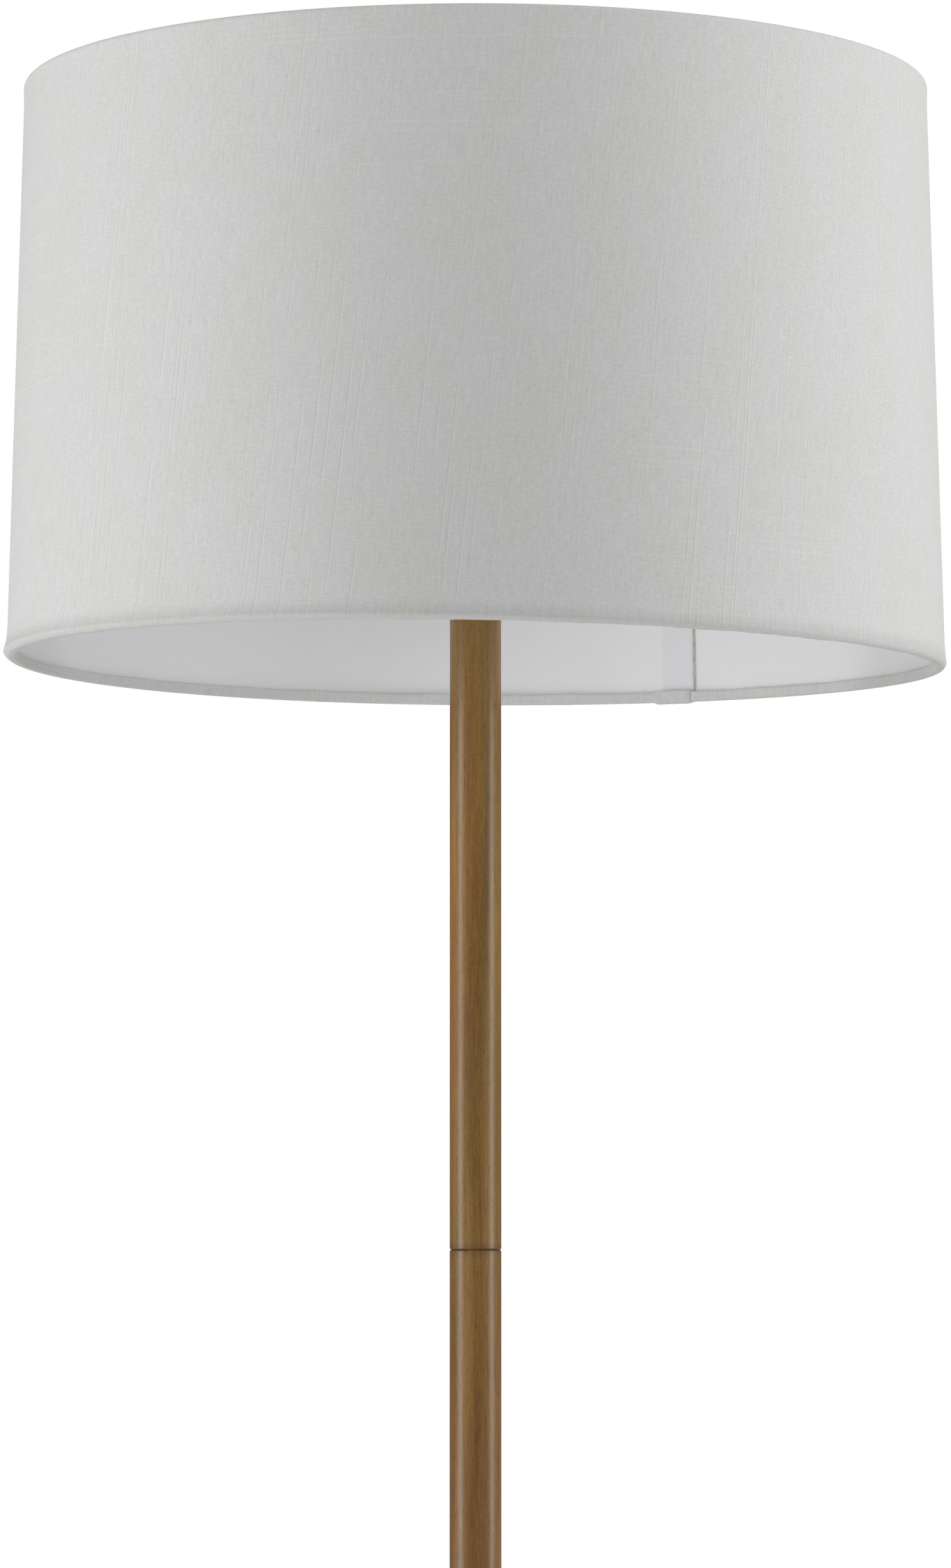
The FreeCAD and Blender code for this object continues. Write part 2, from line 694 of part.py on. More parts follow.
def shade_liner():
    """The white plastic lining behind the linen, between the two rings."""
    inner = SHADE_WIRE_R  # the fabric's inner face, out from each ring's wire
    slope = (TOP_RING_R - BOTTOM_RING_R) / (TOP_RING_Z - BOTTOM_RING_Z)
    low, high = BOTTOM_RING_Z + 1.9, TOP_RING_Z - 1.9
    low_r = BOTTOM_RING_R + inner + slope * (low - BOTTOM_RING_Z)
    high_r = BOTTOM_RING_R + inner + slope * (high - BOTTOM_RING_Z)
    outer_face = [(low_r, low), (high_r, high)]
    inner_face = [(high_r - LINER_T, high), (low_r - LINER_T, low)]
    return turned_polygon(outer_face + inner_face)


def shade_spider():
    """The three arms and the washer that they meet at, its ends shaped to the top ring's wire."""
    washer_low = WASHER_TOP_Z - WASHER_T
    arm_end_z = WASHER_TOP_Z - WASHER_T / 2 + 0.6
    arm_path = rounded_path(
        [
            at(0, TOP_RING_R, TOP_RING_Z),
            at(0, ARM_DROP_R, TOP_RING_Z),
            at(0, WASHER_R - 4.0, arm_end_z),
        ],
        [12.0],
    )
    arm = bent_wire(arm_path, SPIDER_WIRE_R)
    arms = [about_z(arm, angle - 90) for angle in ARM_ANGLES]
    spider = one([rod(WASHER_R, washer_low, WASHER_TOP_Z)] + arms)
    # The arms are ground flat with the washer, above and below.
    above = rod(WASHER_R - 2.5, WASHER_TOP_Z, WASHER_TOP_Z + 10)
    below = rod(WASHER_R + 8, washer_low - 10, washer_low)
    hole = rod(WASHER_HOLE_R, washer_low - 5, WASHER_TOP_Z + 15)
    ring = Part.makeTorus(TOP_RING_R, SHADE_WIRE_R + FIT_GAP, at(0, 0, TOP_RING_Z))
    return spider.cut(above).cut(below).cut(hole).cut(ring)


def shade_ring(ring_r, ring_z):
    return Part.makeTorus(ring_r, SHADE_WIRE_R, at(0, 0, ring_z))


# ---------------------------------------------------------------- the whole lamp
def sub_parts():
    parts = {}
    for name, angle in LEG_ANGLES.items():
        parts[f"leg_{name}"] = about_z(leg(), angle - 90)
        parts[f"foot_glide_{name}"] = about_z(glide(), angle - 90)
    turns = [angle - 90 for angle in LEG_ANGLES.values()]
    parts["glide_nails"] = group([about_z(glide_nail(), t) for t in turns])
    parts["leg_bolts"] = group([about_z(leg_bolt(), t) for t in turns])
    parts["leg_inserts"] = group([about_z(leg_insert(), t) for t in turns])

    parts["tripod_hub"] = hub()
    washer_low = HUB_BOTTOM_Z - HUB_WASHER_T
    parts["hub_washer"] = tube(9.8, NIPPLE_R + FIT_GAP, washer_low, HUB_BOTTOM_Z)
    locknut = hexagon(14.3, washer_low - LOCKNUT_T, washer_low)
    parts["hub_locknut"] = locknut.cut(rod(NIPPLE_R + FIT_GAP, washer_low - 10, washer_low + 1))
    parts["hub_nipple"] = nipple(HUB_BOTTOM_Z - NIPPLE_BELOW_HUB, HUB_TOP_Z + NIPPLE_BITE)
    parts["cord_gland"] = cord_gland()

    parts["lower_pole"] = pole_segment(HUB_TOP_Z, JOINT_Z)
    parts["upper_pole"] = pole_segment(JOINT_Z, POLE_TOP_Z)
    parts["pole_inserts"] = group(
        [
            pole_insert(HUB_TOP_Z, True),
            pole_insert(JOINT_Z, False),
            pole_insert(JOINT_Z, True),
            pole_insert(POLE_TOP_Z, False),
        ]
    )
    parts["pole_nipple"] = nipple(JOINT_Z - NIPPLE_BITE, JOINT_Z + NIPPLE_BITE)
    parts["pole_cap"] = pole_cap()
    parts["neck_collar"] = tube(6.5, NIPPLE_R + FIT_GAP, CAP_TOP_Z, SADDLE_Z, edge=0.5)
    parts["neck_nipple"] = nipple(POLE_TOP_Z - NIPPLE_BITE, SOCKET_Z + 8.0)

    parts["harp_saddle"] = saddle()
    parts["harp"] = harp()
    parts["harp_stud"] = harp_stud()
    parts["harp_sleeve_left"] = harp_sleeve(-POST_SPACING / 2)
    parts["harp_sleeve_right"] = harp_sleeve(POST_SPACING / 2)
    parts["finial"] = finial()

    parts["socket_cap"] = socket_cap()
    parts["socket_shell"] = socket_shell()
    parts["socket_insulator"] = socket_insulator()
    parts["socket_interior"] = socket_interior()
    parts["terminal_screws"] = terminal_screws()
    parts["screw_shell"] = screw_shell()
    parts["socket_contact"] = socket_contact()
    parts["switch_shaft"] = switch_shaft()
    parts["switch_knob"] = switch_knob()

    parts["bulb_contact"] = bulb_contact()
    parts["bulb_insulator"] = bulb_insulator()
    parts["bulb_cap"] = bulb_cap()
    parts["bulb_housing"] = bulb_housing()
    parts["led_board"] = led_board()
    parts["leds"] = leds()
    parts["bulb_dome"] = bulb_dome()

    parts["shade_fabric"] = shade_fabric()
    parts["shade_liner"] = shade_liner()
    parts["shade_spider"] = shade_spider()
    parts["shade_top_ring"] = shade_ring(TOP_RING_R, TOP_RING_Z)
    parts["shade_bottom_ring"] = shade_ring(BOTTOM_RING_R, BOTTOM_RING_Z)
    return parts


def main():
    os.makedirs("parts", exist_ok=True)
    for name, shape in sub_parts().items():
        if not shape.isValid() or shape.Volume <= 0 or not shape.Solids:
            raise ValueError(f"{name} isn't a valid closed solid")
        shape.exportStep(f"parts/{name}.step")
        print(f"{name}: {len(shape.Solids)} solid(s), {shape.Volume / 1000:.2f} cm3")


main()
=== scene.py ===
"""The looks of the tripod floor lamp: linen shade, stained wood, brushed nickel and the studio.

Metres, +Z up, -Y the front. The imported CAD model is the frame, and sizes and places come from it.
"""

import json
import math

import bpy
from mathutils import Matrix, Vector

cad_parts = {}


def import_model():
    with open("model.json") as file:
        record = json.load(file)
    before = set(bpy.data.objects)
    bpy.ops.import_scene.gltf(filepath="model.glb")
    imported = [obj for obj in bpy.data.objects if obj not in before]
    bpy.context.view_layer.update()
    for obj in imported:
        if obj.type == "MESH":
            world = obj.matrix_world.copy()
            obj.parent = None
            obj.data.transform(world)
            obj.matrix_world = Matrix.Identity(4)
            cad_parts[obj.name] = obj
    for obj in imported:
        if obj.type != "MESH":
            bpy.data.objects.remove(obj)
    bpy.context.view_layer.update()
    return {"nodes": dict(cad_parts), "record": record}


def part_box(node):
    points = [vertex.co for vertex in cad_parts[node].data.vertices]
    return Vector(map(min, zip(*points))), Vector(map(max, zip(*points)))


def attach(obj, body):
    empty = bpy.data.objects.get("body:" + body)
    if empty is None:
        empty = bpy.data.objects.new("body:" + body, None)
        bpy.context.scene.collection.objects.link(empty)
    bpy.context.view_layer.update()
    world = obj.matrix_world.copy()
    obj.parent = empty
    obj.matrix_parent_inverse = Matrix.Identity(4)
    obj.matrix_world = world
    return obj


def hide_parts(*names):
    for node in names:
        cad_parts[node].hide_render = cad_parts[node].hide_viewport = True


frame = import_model()

MM = 0.001

# ---------------------------------------------------------------- sizes read from the frame
low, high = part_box("shade_fabric")
SHADE_BOTTOM_Z, SHADE_TOP_Z = low.z, high.z


def ring_facts(node):
    """A wire ring's (centre-line radius, height, wire radius)."""
    low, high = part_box(node)
    wire = (high.z - low.z) / 2
    return high.x - wire, (low.z + high.z) / 2, wire


TOP_RING_R, TOP_RING_Z, WIRE_R = ring_facts("shade_top_ring")
BOTTOM_RING_R, BOTTOM_RING_Z, _ = ring_facts("shade_bottom_ring")
CLOTH_R = BOTTOM_RING_Z - SHADE_BOTTOM_Z  # the cloth's outer face, from a ring's wire centre
JOINT_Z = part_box("upper_pole")[0].z

# ---------------------------------------------------------------- sizes of the looks
LINEN_T = 0.5 * MM
LINER_T = 0.48 * MM
THREAD = 0.62 * MM  # from one thread's middle to the next
LAP_START = math.radians(60.0)  # the sheet's inner end, round from +X towards +Y
LAP_ANGLE = math.radians(4.5)  # where its two ends overlap
LAP_RAMP = math.radians(7.5)  # each end eases back to the true circle over this much
LAP_STEP = 0.5 * MM
FLARE_REACH = 15 * MM  # the wall curves out to each ring over this height
HEM_SQUARENESS = (2.4, 5.0)  # a hem's outer side, nearly round (2), and its flat-pressed inner side
HEM_STEPS = 36
HEM_TUCK = math.radians(297)  # how far the cloth goes round a ring, from its outer side
HEM_TURN = 0.014  # the cloth that goes round a ring, from its cut edge to the wall
RIM_DROP = 2.75 * MM  # the bottom rim hangs this much low at the right, and high at the left
RIM_PITCH = 0.4 * MM  # and this much high at the back, and low at the front
RIM_TWIST = 0.7 * MM  # and this much off flat, turn about, between those


# ---------------------------------------------------------------- mesh helpers
def add_mesh(name, vertices, faces, uvs=None, girth=0.0):
    """A mesh object. uvs are per vertex, and girth closes them where a piece goes all the way round."""
    mesh = bpy.data.meshes.new(name)
    mesh.from_pydata([tuple(v) for v in vertices], [], faces)
    if uvs is not None:
        layer = mesh.uv_layers.new(name="cloth")
        for polygon in mesh.polygons:
            corners = [uvs[mesh.loops[i].vertex_index] for i in polygon.loop_indices]
            widest = max(u for u, _ in corners)
            for i, (u, v) in zip(polygon.loop_indices, corners):
                layer.data[i].uv = (u + girth if widest - u > girth / 2 else u, v)
    mesh.shade_smooth()
    obj = bpy.data.objects.new(name, mesh)
    bpy.context.scene.collection.objects.link(obj)
    return obj


def grid_faces(rows, columns, wrap_columns=False, wrap_rows=False):
    """Quads of a grid whose vertices run along each row in turn."""
    faces = []
    for i in range(rows if wrap_rows else rows - 1):
        for j in range(columns if wrap_columns else columns - 1):
            a, b = i * columns + j, i * columns + (j + 1) % columns
            below = ((i + 1) % rows) * columns
            faces.append((a, b, below + (j + 1) % columns, below + j))
    return faces


def smooth_step(x):
    x = min(max(x, 0.0), 1.0)
    return x * x * (3 - 2 * x)


def polar(radius, angle, z):
    return Vector((radius * math.cos(angle), radius * math.sin(angle), z))


def ripple(angle, seed, waves):
    """A smooth uneven wave round the circle, between about -1 and 1."""
    return sum(math.sin(n * angle + seed * (1.7 + i)) / (1 + 0.4 * i) for i, n in enumerate(waves)) / 1.6


def grow(obj, body, slot, *replaced):
    """Gives a new piece the material of its slot and puts it in its body, and hides the CAD nodes that
    it stands for.
    """
    obj.data.materials.append(MATERIALS[slot])
    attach(obj, body)
    if replaced:
        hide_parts(*replaced)
    return obj


# ---------------------------------------------------------------- material helpers
class Nodes:
    """Short ways to add and join shader nodes."""

    def __init__(self, name):
        self.material = bpy.data.materials.new(name)
        self.material.use_nodes = True
        self.tree = self.material.node_tree
        self.shader = self.tree.nodes["Principled BSDF"]

    def add(self, kind, **values):
        node = self.tree.nodes.new(kind)
        for key, value in values.items():
            setattr(node, key, value)
        return node

    def link(self, source, target):
        if isinstance(source, (int, float, tuple)):
            target.default_value = source
        else:
            self.tree.links.new(source, target)

    def math(self, operation, a, b=0.0, c=0.0):
        node = self.add("ShaderNodeMath", operation=operation)
        for socket, value in zip(node.inputs, (a, b, c)):
            self.link(value, socket)
        return node.outputs[0]

    def vector(self, x, y, z=0.0):
        node = self.add("ShaderNodeCombineXYZ")
        for socket, value in zip(node.inputs, (x, y, z)):
            self.link(value, socket)
        return node.outputs[0]

    def noise(self, where, scale=1.0, detail=2.0, roughness=0.5, distortion=0.0):
        node = self.add("ShaderNodeTexNoise")
        self.link(where, node.inputs["Vector"])
        node.inputs["Scale"].default_value = scale
        node.inputs["Detail"].default_value = detail
        node.inputs["Roughness"].default_value = roughness
        node.inputs["Distortion"].default_value = distortion
        return node.outputs["Fac"]

    def remap(self, value, low, high, to_low=0.0, to_high=1.0, smooth=True):
        node = self.add("ShaderNodeMapRange", interpolation_type="SMOOTHSTEP" if smooth else "LINEAR")
        for socket, v in zip(node.inputs, (value, low, high, to_low, to_high)):
            self.link(v, socket)
        return node.outputs["Result"]

    def mix(self, factor, a, b, blend="MIX"):
        node = self.add("ShaderNodeMix", data_type="RGBA", blend_type=blend)
        self.link(factor, node.inputs[0])
        self.link(a, node.inputs[6])
        self.link(b, node.inputs[7])
        return node.outputs[2]

    def ramp(self, value, stops):
        node = self.add("ShaderNodeValToRGB")
        ramp = node.color_ramp
        ramp.elements[0].position, ramp.elements[0].color = stops[0]
        ramp.elements[1].position, ramp.elements[1].color = stops[-1]
        for position, colour in stops[1:-1]:
            ramp.elements.new(position).color = colour
        self.link(value, node.inputs["Fac"])
        return node.outputs["Color"]

    def bump(self, height, distance, strength=1.0):
        node = self.add("ShaderNodeBump")
        node.inputs["Distance"].default_value = distance
        node.inputs["Strength"].default_value = strength
        self.link(height, node.inputs["Height"])
        self.link(node.outputs["Normal"], self.shader.inputs["Normal"])

    def dot(self, vector, direction):
        node = self.add("ShaderNodeVectorMath", operation="DOT_PRODUCT")
        self.link(vector, node.inputs[0])
        node.inputs[1].default_value = direction
        return node.outputs["Value"]

    def position(self):
        """The object's own (x, y, z), which are the frame's metres."""
        split = self.add("ShaderNodeSeparateXYZ")
        self.link(self.add("ShaderNodeTexCoord").outputs["Object"], split.inputs[0])
        return split.outputs

    def uv(self):
        split = self.add("ShaderNodeSeparateXYZ")
        self.link(self.add("ShaderNodeUVMap", uv_map="cloth").outputs["UV"], split.inputs[0])
        return split.outputs[0], split.outputs[1]


def grey(value):
    return (value, value, value, 1.0)


# ---------------------------------------------------------------- materials
def slubs(m, thread, along, seed, share, length_scale):
    """Here and there a thread that is thick for a few centimetres.

    thread counts threads across, and along is the way along them in metres.
    """
    cell = m.math("FLOOR", thread)
    pick = m.add("ShaderNodeTexWhiteNoise", noise_dimensions="2D")
    m.link(m.vector(cell, seed), pick.inputs["Vector"])
    chosen = m.remap(pick.outputs["Value"], 1 - share, 1.01 - share)
    where = m.vector(m.math("MULTIPLY", cell, 7.31), m.math("MULTIPLY", along, length_scale), seed)
    length = m.remap(m.noise(where, detail=1.0), 0.47, 0.55)
    return m.math("MULTIPLY", chosen, length)


def linen_material():
    """Slubby plain-weave linen. UV is in metres: along the weft, and up the warp."""
    m = Nodes("linen")
    u, v = m.uv()
    here = m.vector(u, v)
    wander = m.math("SUBTRACT", m.noise(here, scale=30.0, detail=4.0), 0.5)
    lean = 0.11  # the warp isn't quite square to the rim
    upright = m.math("SUBTRACT", u, m.math("MULTIPLY", v, lean))
    across = m.math("MULTIPLY_ADD", wander, 1.6, m.math("DIVIDE", upright, THREAD))
    along = m.math("MULTIPLY_ADD", wander, 1.6, m.math("DIVIDE", v, THREAD))
    warp = m.math("ABSOLUTE", m.math("SINE", m.math("MULTIPLY", across, math.pi)))
    weft = m.math("ABSOLUTE", m.math("SINE", m.math("MULTIPLY", along, math.pi)))
    over = m.math("PINGPONG", m.math("ADD", m.math("FLOOR", across), m.math("FLOOR", along)), 1.0)
    warp_side = m.math("MULTIPLY", warp, m.math("MULTIPLY_ADD", over, 0.5, 0.5))
    weft_side = m.math("MULTIPLY", weft, m.math("MULTIPLY_ADD", over, -0.5, 1.0))
    weave = m.math("MAXIMUM", warp_side, weft_side)

    # No two threads are the same shade, some swell into slubs, and the whole is faintly mottled.
    warp_cell = m.math("MULTIPLY", m.math("FLOOR", across), 0.731)
    weft_cell = m.math("MULTIPLY", m.math("FLOOR", along), 0.577)
    warp_tone = m.noise(m.vector(warp_cell, m.math("MULTIPLY", v, 90.0)), detail=2.0)
    weft_tone = m.noise(m.vector(m.math("MULTIPLY", u, 320.0), weft_cell, 3.0), detail=2.0)
    tone = m.math("MULTIPLY_ADD", weft_tone, 0.30, m.math("MULTIPLY", warp_tone, 0.35))
    tone = m.math("MULTIPLY_ADD", m.noise(here, scale=760.0, detail=2.0, roughness=0.7), 0.35, tone)
    crowd = m.noise(m.vector(m.math("MULTIPLY", u, 9.0), m.math("MULTIPLY", v, 2.0), 8.0))
    warp_crowd = m.remap(crowd, 0.40, 0.60, 0.35, 1.0)
    crowd = m.noise(m.vector(m.math("MULTIPLY", u, 7.0), m.math("MULTIPLY", v, 9.0), 4.0))
    weft_crowd = m.remap(crowd, 0.5, 0.62)
    warp_slub = m.math("MULTIPLY", slubs(m, across, v, 1.0, 0.12, 11.0), warp_crowd)
    # Painted shadow: the thread next to each slub is picked here, to be darkened as the slub's shade.
    painted_slub_shadow = m.math("MULTIPLY", slubs(m, m.math("ADD", across, 1.0), v, 1.0, 0.12, 11.0), warp_crowd)
    weft_slub = m.math("MULTIPLY", slubs(m, along, u, 5.0, 0.12, 22.0), weft_crowd)

    base = m.mix(m.remap(tone, 0.34, 0.66), (0.785, 0.788, 0.782, 1), (0.885, 0.887, 0.881, 1))
    # Painted shade: the grooves between the threads are darkened.
    base = m.mix(m.remap(weave, 0.1, 0.7), m.mix(1.0, base, grey(0.90), "MULTIPLY"), base)
    # Painted shadow: the thread beside each slub is darkened.
    base = m.mix(m.math("MULTIPLY", painted_slub_shadow, 0.50), base, (0.66, 0.66, 0.64, 1))
    base = m.mix(m.math("MULTIPLY", warp_slub, 0.75), base, (0.93, 0.925, 0.885, 1))
    base = m.mix(m.math("MULTIPLY", weft_slub, 0.45), base, (0.92, 0.91, 0.86, 1))
    patch_at = m.vector(m.math("MULTIPLY", upright, 30.0), m.math("MULTIPLY", v, 14.0), 2.0)
    patch = m.noise(patch_at, detail=4.0)
    cream = m.mix(1.0, base, (0.993, 0.993, 0.955, 1), "MULTIPLY")
    base = m.mix(m.remap(patch, 0.46, 0.64), base, cream)
    # Painted shade: over the ring the cloth is double and glued, so less light comes through it, and
    # that dimming is painted into its colour.
    painted_shade_over_ring = m.remap(v, HEM_TURN, HEM_TURN + 0.008, 0.75, 0.0)
    base = m.mix(painted_shade_over_ring, base, m.mix(1.0, base, grey(0.84), "MULTIPLY"))
    m.link(base, m.shader.inputs["Base Color"])
    m.shader.inputs["Roughness"].default_value = 0.95
    m.shader.inputs["Specular IOR Level"].default_value = 0.1
    m.shader.inputs["Sheen Weight"].default_value = 0.06
    m.shader.inputs["Sheen Roughness"].default_value = 0.5
    fuzz = m.noise(here, scale=2600.0, detail=1.0)
    height = m.math("MULTIPLY_ADD", m.math("ADD", warp_slub, weft_slub), 0.8, weave)
    m.bump(m.math("MULTIPLY_ADD", fuzz, 0.35, height), 0.09 * MM, 0.8)
    return m.material


def liner_material():
    """Smooth white styrene, with the faint waviness of a glued sheet, painted shade on the band where
    its two ends lap, and a dark brownish line along the cut edge.
    """
    m = Nodes("styrene")
    x, y, z = m.position()
    u, v = m.uv()
    here = m.vector(x, y, z)
    cloud = m.noise(here, scale=14.0, detail=2.0)
    colour = m.mix(cloud, (0.890, 0.896, 0.910, 1), (0.922, 0.927, 0.938, 1))
    # Painted shade: the band where the sheet's two ends lap is darkened.
    painted_shade_lap = m.math("MULTIPLY", m.remap(u, 0.0, 0.0004), m.remap(u, 0.0178, 0.0186, 1.0, 0.0))
    colour = m.mix(m.math("MULTIPLY", painted_shade_lap, 0.5), colour, (0.80, 0.81, 0.83, 1))
    # A dark brownish line along the cut edge, mottled by noise.
    girth = 2 * math.pi * BOTTOM_RING_R
    cut = m.remap(u, girth - 0.0007, girth - 0.0005)
    edge_line_mottle = m.noise(m.vector(m.math("MULTIPLY", u, 900.0), m.math("MULTIPLY", v, 160.0)), detail=3.0)
    edge = m.mix(m.remap(edge_line_mottle, 0.35, 0.65), (0.46, 0.43, 0.375, 1), (0.66, 0.63, 0.56, 1))
    m.link(m.mix(cut, colour, edge), m.shader.inputs["Base Color"])
    m.link(m.remap(cloud, 0.3, 0.7, 0.50, 0.60), m.shader.inputs["Roughness"])
    m.bump(m.noise(here, scale=90.0, detail=1.0), 0.05 * MM, 0.3)
    return m.material


def wood_material(name, grain=Vector((0, 0, 1)), joint_z=None):
    """Light walnut stain under satin varnish, its grain along a direction.

    joint_z is the height at which a dark joint runs across it.
    """
    m = Nodes(name)
    place = m.add("ShaderNodeTexCoord").outputs["Object"]
    side = grain.orthogonal().normalized()
    axes = (side, grain.cross(side), grain)
    x, y, along = (m.dot(place, axis) for axis in axes)

    def streaks(round_scale, long_scale, **values):
        scaled = ((x, round_scale), (y, round_scale), (along, long_scale))
        return m.noise(m.vector(*(m.math("MULTIPLY", a, k) for a, k in scaled)), **values)

    fine = streaks(1500.0, 75.0, detail=3.0, roughness=0.6)
    broad = streaks(150.0, 6.0, detail=3.0, distortion=0.5)
    cast = streaks(40.0, 7.0, detail=1.0)
    speckle = m.noise(place, scale=1100.0, detail=2.0, roughness=0.7)
    tone = m.math("MULTIPLY_ADD", broad, 0.50, m.math("MULTIPLY", speckle, 0.20))
    tone = m.math("MULTIPLY_ADD", fine, 0.30, tone)
    colour = m.ramp(
        tone,
        [
            (0.36, (0.158, 0.076, 0.014, 1)),
            (0.50, (0.258, 0.137, 0.028, 1)),
            (0.64, (0.365, 0.207, 0.048, 1)),
        ],
    )
    redder = m.mix(1.0, colour, (1.04, 0.93, 0.96, 1), "MULTIPLY")
    colour = m.mix(m.remap(cast, 0.42, 0.62), colour, redder)
    pores = m.remap(streaks(2600.0, 240.0, detail=0.0), 0.70, 0.77)
    colour = m.mix(m.math("MULTIPLY", pores, 0.45), colour, (0.060, 0.028, 0.012, 1))
    if joint_z is not None:
        uneven = m.math("MULTIPLY_ADD", m.noise(place, scale=260.0, detail=2.0), 0.0010, -0.0005)
        off = m.math("ABSOLUTE", m.math("ADD", m.math("SUBTRACT", along, joint_z), uneven))
        smear = m.math("MULTIPLY", m.remap(off, 0.0004, 0.0050, 0.70, 0.0), m.noise(place, scale=120.0))
        colour = m.mix(smear, colour, (0.085, 0.036, 0.016, 1))
        colour = m.mix(m.remap(off, 0.0001, 0.0006, 0.45, 0.0), colour, (0.075, 0.022, 0.010, 1))
    m.link(colour, m.shader.inputs["Base Color"])
    m.link(m.remap(broad, 0.3, 0.7, 0.46, 0.56), m.shader.inputs["Roughness"])
    m.shader.inputs["Specular IOR Level"].default_value = 0.35
    m.shader.inputs["Coat Weight"].default_value = 0.48
    m.shader.inputs["Coat Roughness"].default_value = 0.25
    m.bump(m.math("SUBTRACT", m.math("MULTIPLY", fine, 0.5), pores), 0.05 * MM, 0.5)
    return m.material


def metal_material(name, colour, roughness, scratch=220.0):
    m = Nodes(name)
    x, y, z = m.position()
    scaled = ((x, scratch), (y, scratch), (z, scratch * 18))
    brushed = m.noise(m.vector(*(m.math("MULTIPLY", a, k) for a, k in scaled)))
    darker = tuple(c * 0.86 for c in colour[:3]) + (1,)
    m.link(m.mix(brushed, darker, colour), m.shader.inputs["Base Color"])
    m.shader.inputs["Metallic"].default_value = 1.0
    m.link(m.remap(brushed, 0.3, 0.7, roughness - 0.06, roughness + 0.08), m.shader.inputs["Roughness"])
    m.bump(brushed, 0.01 * MM, 0.5)
    return m.material


def plastic_material(name, colour, roughness, grain=900.0):
    m = Nodes(name)
    x, y, z = m.position()
    speck = m.noise(m.vector(x, y, z), scale=grain, detail=3.0)
    darker = tuple(c * 0.9 for c in colour[:3]) + (1,)
    m.link(m.mix(speck, darker, colour), m.shader.inputs["Base Color"])
    m.link(m.remap(speck, 0.3, 0.7, roughness - 0.04, roughness + 0.06), m.shader.inputs["Roughness"])
    m.bump(speck, 0.02 * MM, 0.4)
    return m.material


MATERIALS = {
    "stained_wood": wood_material("stained_wood", joint_z=JOINT_Z),
    "rubber": plastic_material("rubber", (0.03, 0.028, 0.026, 1), 0.75),
    "zinc_steel": metal_material("zinc_steel", (0.62, 0.63, 0.65, 1), 0.34),
    "black_plastic": plastic_material("black_plastic", (0.018, 0.017, 0.017, 1), 0.32),
    "nickel": metal_material("nickel", (0.66, 0.63, 0.58, 1), 0.28),
    "fibre": plastic_material("fibre", (0.16, 0.11, 0.07, 1), 0.7),
    "brass": metal_material("brass", (0.75, 0.56, 0.25, 1), 0.25),
    "white_plastic": plastic_material("white_plastic", (0.82, 0.82, 0.80, 1), 0.4),
    "board": plastic_material("board", (0.8, 0.8, 0.8, 1), 0.4),
    "led": plastic_material("led", (0.85, 0.62, 0.08, 1), 0.4),
    "opal": plastic_material("opal", (0.86, 0.86, 0.85, 1), 0.5),
    "linen": linen_material(),
    "styrene": liner_material(),
    "white_wire": plastic_material("white_wire", (0.80, 0.80, 0.79, 1), 0.45),
}


def long_axis(node):
    """The direction from the lowest end of a CAD node to its highest."""
    points = sorted((v.co for v in frame["nodes"][node].data.vertices), key=lambda co: co.z)
    end = max(1, len(points) // 20)
    low, high = (sum(part, Vector()) / end for part in (points[:end], points[-end:]))
    return (high - low).normalized()


def dress_cad_nodes():
    """Each CAD node takes its slot's material. Grain runs along each leg, and across the hub."""
    slots = {s["node"]: s["material_slot"] for s in frame["record"]["subparts"]}
    for name, obj in frame["nodes"].items():
        material = MATERIALS[slots[name]]
        if name.startswith("leg_") and slots[name] == "stained_wood":
            material = wood_material(f"wood_{name}", long_axis(name))
        elif name == "tripod_hub":
            material = wood_material("wood_hub", Vector((1, 0, 0)))
        obj.data.materials.clear()
        obj.data.materials.append(material)


# ---------------------------------------------------------------- the shade
def rim_shift(point):
    """How far the shade hangs off true at this place: nothing at the top, most at the bottom rim."""
    share = smooth_step((SHADE_TOP_Z - point.z) / (SHADE_TOP_Z - SHADE_BOTTOM_Z))
    x, y = point.x / BOTTOM_RING_R, point.y / BOTTOM_RING_R
    return share * (RIM_PITCH * y - RIM_DROP * x + 2 * RIM_TWIST * x * y)


def placed(radius, angle, z):
    """A point of the shade, with the rim's droop."""
    point = polar(radius, angle, z)
    point.z += rim_shift(point)
    return point


def lap_shift(angle, side):
    """How far the lap moves the wall's face out (side 1 is the outer face, -1 the inner one)."""
    past = (angle - LAP_START + math.pi) % (2 * math.pi) - math.pi
    if -LAP_RAMP < past < 0:
        return LAP_STEP * smooth_step(1 + past / LAP_RAMP)
    if 0 <= past <= LAP_ANGLE:
        return LAP_STEP * side
    if LAP_ANGLE < past < LAP_ANGLE + LAP_RAMP:
        return -LAP_STEP * smooth_step((LAP_ANGLE + LAP_RAMP - past) / LAP_RAMP)
    return 0.0


def bottom_flare(angle):
    """How far the bottom rim stands out from the wall above it: most at the front left."""
    return (1.1 - 0.55 * math.cos(angle) - 0.6 * math.sin(angle)) * MM


def wall_radius(angle, z, side):
    """The linen's outer face between the rings, which curves out to each ring."""
    flare, top_flare = bottom_flare(angle), 0.4 * MM
    share = (z - BOTTOM_RING_Z) / (TOP_RING_Z - BOTTOM_RING_Z)
    low_r = BOTTOM_RING_R + CLOTH_R - 0.4 * flare
    high_r = TOP_RING_R + CLOTH_R - top_flare
    near_bottom = max(0.0, 1 - (z - BOTTOM_RING_Z) / FLARE_REACH)
    near_top = max(0.0, 1 - (TOP_RING_Z - z) / FLARE_REACH)
    radius = low_r + (high_r - low_r) * share + flare * near_bottom**3 + top_flare * near_top**3
    off_ring = min(z - BOTTOM_RING_Z, TOP_RING_Z - z) / (8 * MM)
    return radius + lap_shift(angle, side) * smooth_step(off_ring)


